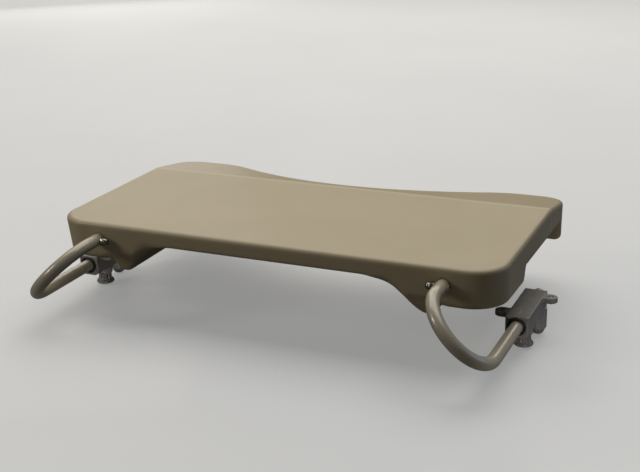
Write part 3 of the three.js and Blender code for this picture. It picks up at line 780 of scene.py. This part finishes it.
def build_locks():
    """The hand knobs with their studs, and the pads that the studs press against the tubes."""
    rim = KNOB_BOTTOM_Z
    socket = KNOB_TOP_Z - KNOB_SOCKET_DEPTH
    corners = [(0, rim, 0), (9.5, rim + 0.15, 3.0), (13.2, rim + 0.9, 1.2), (14.5, rim + 2.2, 0.9),
               (14.4, rim + 4.6, 1.2), (11.9, rim + 7.2, 2.4), (10.8, rim + 10.4, 3.0),
               (10.7, KNOB_TOP_Z, 1.3), (KNOB_SOCKET_R, KNOB_TOP_Z, 0.3),
               (KNOB_SOCKET_R, socket, 0), (0, socket, 0)]
    profile = with_rows(filleted(corners, 6))
    verts, faces = turned(profile, KNOB_FLUTES * KNOB_SIDES_PER_FLUTE, knob_groove)
    add_pair("knob", moved(verts, LEG_X, KNOB_Y), faces, "{side}_hand_knob", "knob_plastic")

    low, high = cad_box("right_knob_stud")
    bottom, top = low[2], high[2]
    stud = filleted([(0, bottom, 0), (SCREW_R, bottom, 0.5), (SCREW_R, top, 0.7), (0, top, 0)])
    verts, faces = turned(stud, 48)
    add_pair("knob_stud", moved(verts, LEG_X, KNOB_Y), faces, "{side}_hand_knob", "zinc_steel")

    low, high = cad_box("right_pressure_pad")
    bottom, top = low[2], high[2]
    cup_top = top - PAD_CUP_DEPTH
    pad = filleted([(0, cup_top, 0), (PAD_CUP_R, cup_top, 0), (PAD_CUP_R, bottom, 0.3),
                    (PAD_R, bottom, 0.5), (PAD_R, top, 0.6), (0, top, 0)])
    verts, faces = turned(pad, 48)
    add_pair("pressure_pad", moved(verts, LEG_X, KNOB_Y), faces, "{side}_pad", "nylon")


# ---- Materials ----------------------------------------------------------------------------------


def linear(shown):
    """Light level of an 8-bit display value."""
    return (shown / 255 / 12.92) if shown < 10.3 else ((shown / 255 + 0.055) / 1.055) ** 2.4


def srgb(r, g, b):
    """Linear colour from 8-bit display values."""
    return (linear(r), linear(g), linear(b), 1.0)


class Graph:
    """A short way to write a material's nodes. Noise is laid out in the piece's own space."""

    def __init__(self, name):
        self.material = bpy.data.materials.new(name)
        self.material.use_nodes = True
        self.tree = self.material.node_tree
        self.shader = self.tree.nodes["Principled BSDF"]
        self.place = self.add("ShaderNodeTexCoord").outputs["Object"]

    def add(self, kind, **settings):
        node = self.tree.nodes.new(kind)
        for key, value in settings.items():
            setattr(node, key, value)
        return node

    def feed(self, socket, value):
        if isinstance(value, bpy.types.NodeSocket):
            self.tree.links.new(value, socket)
        else:
            socket.default_value = value

    def noise(self, size_mm, detail=3.0, roughness=0.55, stretch=(1, 1, 1)):
        """Smooth noise with features of about this size."""
        mapping = self.add("ShaderNodeMapping")
        self.feed(mapping.inputs["Vector"], self.place)
        mapping.inputs["Scale"].default_value = stretch
        node = self.add("ShaderNodeTexNoise")
        self.feed(node.inputs["Vector"], mapping.outputs["Vector"])
        node.inputs["Scale"].default_value = 1000 / size_mm
        node.inputs["Detail"].default_value = detail
        node.inputs["Roughness"].default_value = roughness
        return node.outputs["Fac"]

    def cells(self, size_mm):
        """Rounded cells of about this size, for a moulded grain."""
        node = self.add("ShaderNodeTexVoronoi", feature="SMOOTH_F1")
        self.feed(node.inputs["Vector"], self.place)
        node.inputs["Scale"].default_value = 1000 / size_mm
        return node.outputs["Distance"]

    def ranged(self, value, low, high, to_low, to_high):
        """The value carried from one range to another, and held at its ends."""
        node = self.add("ShaderNodeMapRange")
        self.feed(node.inputs["Value"], value)
        limits = {"From Min": low, "From Max": high, "To Min": to_low, "To Max": to_high}
        for name, number in limits.items():
            self.feed(node.inputs[name], number)
        return node.outputs["Result"]

    def mix(self, factor, a, b):
        node = self.add("ShaderNodeMix", data_type="RGBA")
        self.feed(node.inputs["Factor"], factor)
        self.feed(node.inputs[6], a)
        self.feed(node.inputs[7], b)
        return node.outputs[2]

    def bump(self, height, depth_mm, strength=1.0, normal=None):
        node = self.add("ShaderNodeBump")
        node.inputs["Strength"].default_value = strength
        node.inputs["Distance"].default_value = depth_mm * MM
        self.feed(node.inputs["Height"], height)
        if normal is not None:
            self.feed(node.inputs["Normal"], normal)
        return node.outputs["Normal"]

    def edges(self, low, high):
        """1 on worn outside edges, 0 elsewhere."""
        pointed = self.add("ShaderNodeNewGeometry").outputs["Pointiness"]
        return self.ranged(pointed, low, high, 0.0, 1.0)

    def finish(self, color, roughness, metallic=0.0, normal=None, coat=0.0, specular=0.5):
        self.feed(self.shader.inputs["Base Color"], color)
        self.feed(self.shader.inputs["Roughness"], roughness)
        self.feed(self.shader.inputs["Metallic"], metallic)
        self.feed(self.shader.inputs["Specular IOR Level"], specular)
        self.feed(self.shader.inputs["Coat Weight"], coat)
        if normal is not None:
            self.feed(self.shader.inputs["Normal"], normal)
        return self.material


CREASE_SHINE = 7.0  # how far the painted highlight along the crease fades on either side
CREASE_HIGHLIGHT_SHARE = 0.45


def moulded_tan():
    """Clouded tan plastic with a fine grain, worn pale along its edges, with a painted highlight along its
    crease.
    """
    g = Graph("tray_moulding")
    cloud = g.ranged(g.noise(170, 2), 0.35, 0.65, 0.0, 1.0)
    base = g.mix(cloud, srgb(174, 159, 128), srgb(170, 155, 124))
    speck = g.ranged(g.noise(1.6, 2), 0.56, 0.72, 0.0, 0.2)
    base = g.mix(speck, base, srgb(148, 134, 108))
    # Painted highlight: a paler line just in front of the crease, fading out over CREASE_SHINE on either
    # side.
    depth = g.add("ShaderNodeSeparateXYZ")
    g.feed(depth.inputs["Vector"], g.place)
    crease = (FRONT_Y + CREASE_V - CREASE_SHINE / 2) * MM
    width = CREASE_SHINE * MM
    before = g.ranged(depth.outputs["Y"], crease - width, crease, 0.0, CREASE_HIGHLIGHT_SHARE)
    after = g.ranged(depth.outputs["Y"], crease, crease + width, CREASE_HIGHLIGHT_SHARE, 0.0)
    wear_and_painted_highlight = g.add("ShaderNodeMath", operation="MINIMUM")
    g.feed(wear_and_painted_highlight.inputs[0], before)
    g.feed(wear_and_painted_highlight.inputs[1], after)
    base = g.mix(wear_and_painted_highlight.outputs["Value"], base, srgb(205, 194, 168))
    worn = g.edges(0.52, 0.60)
    base = g.mix(g.ranged(worn, 0, 1, 0.0, 0.35), base, srgb(196, 186, 163))
    scuff = g.ranged(g.noise(18, 6, 0.7, (1, 0.4, 1)), 0.6, 0.75, 0.0, 0.5)
    rough = g.ranged(g.noise(60, 4), 0.3, 0.7, 0.34, 0.40)
    rough = g.ranged(scuff, 0, 1, rough, 0.5)
    grain = g.bump(g.cells(0.9), 0.05, 0.55)
    wavy = g.bump(g.noise(120, 1), 0.5, 0.25, grain)
    return g.finish(base, rough, normal=wavy, specular=0.45)


def powder_coat():
    """Glossy beige paint with an orange-peel skin."""
    g = Graph("arm_paint")
    cloud = g.ranged(g.noise(45, 3), 0.35, 0.65, 0, 1)
    base = g.mix(cloud, srgb(182, 172, 151), srgb(177, 167, 146))
    worn = g.ranged(g.noise(9, 5, 0.7), 0.70, 0.80, 0.0, 0.25)
    base = g.mix(worn, base, srgb(190, 178, 160))
    peel = g.bump(g.noise(2.2, 2), 0.06, 0.5)
    rough = g.ranged(g.noise(12, 3), 0.3, 0.7, 0.26, 0.34)
    g.shader.inputs["Coat Roughness"].default_value = 0.1
    return g.finish(base, rough, metallic=0.08, normal=peel, coat=0.5)


def chrome_plate():
    g = Graph("chrome")
    tint = g.mix(g.noise(3, 3), srgb(160, 155, 146), srgb(140, 135, 127))
    rough = g.ranged(g.noise(1.4, 5, 0.7), 0.35, 0.75, 0.16, 0.26)
    return g.finish(tint, rough, metallic=1.0, normal=g.bump(g.noise(2.5, 2), 0.01, 0.1))


def bright_zinc():
    g = Graph("zinc_steel")
    tint = g.mix(g.noise(2.5, 4), srgb(176, 178, 182), srgb(140, 141, 140))
    rough = g.ranged(g.noise(0.7, 4), 0.3, 0.7, 0.28, 0.46)
    return g.finish(tint, rough, metallic=1.0, normal=g.bump(g.noise(0.5, 3), 0.02, 0.35))


def turned_brass():
    g = Graph("brass")
    tint = g.mix(g.noise(2.5, 4), srgb(190, 155, 90), srgb(150, 118, 62))
    lathe = g.noise(0.4, 2, 0.5, (0.05, 0.05, 1))
    rough = g.ranged(lathe, 0.3, 0.7, 0.25, 0.42)
    return g.finish(tint, rough, metallic=1.0, normal=g.bump(lathe, 0.02, 0.4))


RUBBED_GAIN = 1.9


def filled_nylon(name, colour, second, rough_low, rough_high, grain_mm):
    """Moulded engineering plastic: fine spark-eroded grain, mottled in two colours, with paler
    worn edges."""
    g = Graph(name)
    base = g.mix(g.ranged(g.noise(14, 4), 0.35, 0.65, 0, 1), colour, second)
    wear_and_painted_highlight = tuple(min(1, RUBBED_GAIN * c) for c in second[:3]) + (1.0,)
    base = g.mix(g.ranged(g.edges(0.53, 0.66), 0, 1, 0.0, 0.4), base, wear_and_painted_highlight)
    rough = g.ranged(g.noise(5, 4), 0.3, 0.7, rough_low, rough_high)
    return g.finish(base, rough, normal=g.bump(g.cells(grain_mm), 0.05, 0.6), specular=0.45)


# name: (colour, second colour, roughness from, roughness to, grain in millimetres)
PLASTICS = {
    "clamp_housing": (srgb(136, 131, 126), srgb(126, 121, 116), 0.38, 0.5, 0.6),
    "knob_plastic": (srgb(118, 114, 109), srgb(108, 104, 99), 0.36, 0.48, 0.5),
    "nylon": (srgb(40, 40, 44), srgb(32, 32, 36), 0.42, 0.55, 0.4),
    "black_plastic": (srgb(52, 51, 48), srgb(42, 41, 39), 0.4, 0.52, 0.5),
}


def make_materials():
    materials["tray_moulding"] = moulded_tan()
    materials["arm_paint"] = powder_coat()
    materials["chrome"] = chrome_plate()
    materials["zinc_steel"] = bright_zinc()
    materials["brass"] = turned_brass()
    for name, looks in PLASTICS.items():
        materials[name] = filled_nylon(name, *looks)


# ---- Stage, light and camera --------------------------------------------------------------------

CAMERA_PLACE = (0.7330, -1.5863, 0.5735)
CAMERA_YAW = math.radians(23.948)
CAMERA_PITCH = math.radians(19.288)
CAMERA_ROLL = math.radians(-1.313)
LENS_MM = 66.97
SENSOR_MM = 36

FLOOR_HALF = 30
FLOOR_GAP = 0.001
FLOOR_PALE = srgb(186, 186, 185)
FLOOR_CLOUD = srgb(180, 180, 179)
FLOOR_BOUNCE = srgb(98, 97, 95)
FLOOR_GLOW = 0.5
FAR_FLOOR_GLOW = 1.13
GLOW_GROWS_FROM, GLOW_GROWS_TO = 3.5, 9.0
WORLD_COLOUR = (0.9, 0.92, 0.95, 1)
WORLD_LIGHT = 0.075
WORLD_SHOWN = 0.6

# name: (place, target, size, watts, colour, spread in degrees)
# The right and left cards lie just above the floor and light the clamps and knobs from in front.
# The low card gives the tray's rear band its sheen.
LIGHTS = {
    "overhead": ((-0.7, 1.75, 4.2), (-0.7, 1.35, 0), (7.0, 4.6), 188, (1.0, 0.985, 0.955), 180),
    "back_wall": ((-0.8, 3.3, 1.9), (-0.2, 0, 0), (4.6, 1.5), 34, (1.0, 0.94, 0.82), 180),
    "right_fill": ((2.2, 0.9, 0.4), (0.3, 0.0, -0.08), (0.9, 0.7), 2.9, (0.12, 0.42, 1.0), 180),
    "right_card": ((0.68, -0.42, -0.142), (0.37, 0.0, -0.145), (0.3, 0.02), 0.032, (1.0, 0.97, 0.95), 24),
    "left_card": ((-0.12, -0.48, -0.142), (-0.36, -0.03, -0.145), (0.3, 0.02), 0.025, (1.0, 0.98, 0.93), 24),
    "low_card": ((-2.2, 2.8, 0.26), (-0.2, 0.2, 0), (1.3, 0.5), 3.0, (1.0, 0.99, 0.97), 180),
    "front_left": ((-1.9, -1.5, 1.1), (0, 0, -0.05), (0.5, 0.9), 12, (1.0, 0.97, 0.92), 180),
}


def add_floor():
    """A pale floor that throws less light back up than it shows, and glows more far away."""
    lowest = cad_bounds[0][2] - FLOOR_GAP
    mesh = bpy.data.meshes.new("floor")
    corners = [(x * FLOOR_HALF, y * FLOOR_HALF, lowest) for x, y in ((-1, -1), (1, -1), (1, 1), (-1, 1))]
    mesh.from_pydata(corners, [], [(0, 1, 2, 3)])
    floor = bpy.data.objects.new("floor", mesh)
    bpy.context.scene.collection.objects.link(floor)
    g = Graph("studio_floor")
    shade = g.mix(g.ranged(g.noise(900, 3), 0.3, 0.7, 0, 1), FLOOR_PALE, FLOOR_CLOUD)
    seen = g.add("ShaderNodeLightPath").outputs["Is Camera Ray"]
    g.feed(g.shader.inputs["Emission Color"], FLOOR_PALE)
    reach = g.add("ShaderNodeVectorMath", operation="LENGTH")
    g.feed(reach.inputs[0], g.place)
    glow = g.ranged(reach.outputs["Value"], GLOW_GROWS_FROM, GLOW_GROWS_TO, FLOOR_GLOW, FAR_FLOOR_GLOW)
    g.feed(g.shader.inputs["Emission Strength"], g.ranged(seen, 0, 1, 0.0, glow))
    shade = g.mix(seen, FLOOR_BOUNCE, shade)
    mesh.materials.append(g.finish(shade, 0.85, specular=0.0))


def add_area_light(name, place, target, size, watts, colour, spread):
    """A rectangular light that faces its target and that the camera does not see."""
    data = bpy.data.lights.new(name, "AREA")
    data.shape = "RECTANGLE"
    data.size, data.size_y = size
    data.energy = watts
    data.color = colour
    data.spread = math.radians(spread)
    light = bpy.data.objects.new(name, data)
    light.location = place
    light.visible_camera = False
    light.rotation_euler = (Vector(target) - Vector(place)).to_track_quat("-Z", "Y").to_euler()
    bpy.context.scene.collection.objects.link(light)


def add_lights():
    for name, settings in LIGHTS.items():
        add_area_light(name, *settings)


def add_world():
    """A pale background that lights the table less than it shows."""
    world = bpy.data.worlds.new("studio")
    world.use_nodes = True
    tree = world.node_tree
    background = tree.nodes["Background"]
    background.inputs["Color"].default_value = WORLD_COLOUR
    seen = tree.nodes.new("ShaderNodeLightPath").outputs["Is Camera Ray"]
    level = tree.nodes.new("ShaderNodeMapRange")
    level.inputs["To Min"].default_value = WORLD_LIGHT
    level.inputs["To Max"].default_value = WORLD_SHOWN
    tree.links.new(seen, level.inputs["Value"])
    tree.links.new(level.outputs["Result"], background.inputs["Strength"])
    bpy.context.scene.world = world


def add_camera():
    data = bpy.data.cameras.new("camera")
    data.lens = LENS_MM
    data.sensor_width = SENSOR_MM
    data.sensor_fit = "HORIZONTAL"
    data.clip_end = 100
    ahead = math.cos(CAMERA_PITCH)
    forward = Vector((-math.sin(CAMERA_YAW) * ahead, math.cos(CAMERA_YAW) * ahead, -math.sin(CAMERA_PITCH)))
    level = Vector((math.cos(CAMERA_YAW), math.sin(CAMERA_YAW), 0))
    upright = level.cross(forward)
    right = level * math.cos(CAMERA_ROLL) + upright * math.sin(CAMERA_ROLL)
    up = upright * math.cos(CAMERA_ROLL) - level * math.sin(CAMERA_ROLL)
    turn = Matrix((right, up, -forward)).transposed()
    camera = bpy.data.objects.new("camera", data)
    camera.matrix_world = Matrix.Translation(CAMERA_PLACE) @ turn.to_4x4()
    bpy.context.scene.collection.objects.link(camera)
    bpy.context.scene.camera = camera
    bpy.context.scene.view_settings.view_transform = "Standard"


make_materials()
build_tray()
build_arm_tubes()
build_end_plugs()
build_cross_bolts()
build_screws()
build_clamps()
build_post_caps()
build_locks()
add_floor()
add_lights()
add_world()
add_camera()
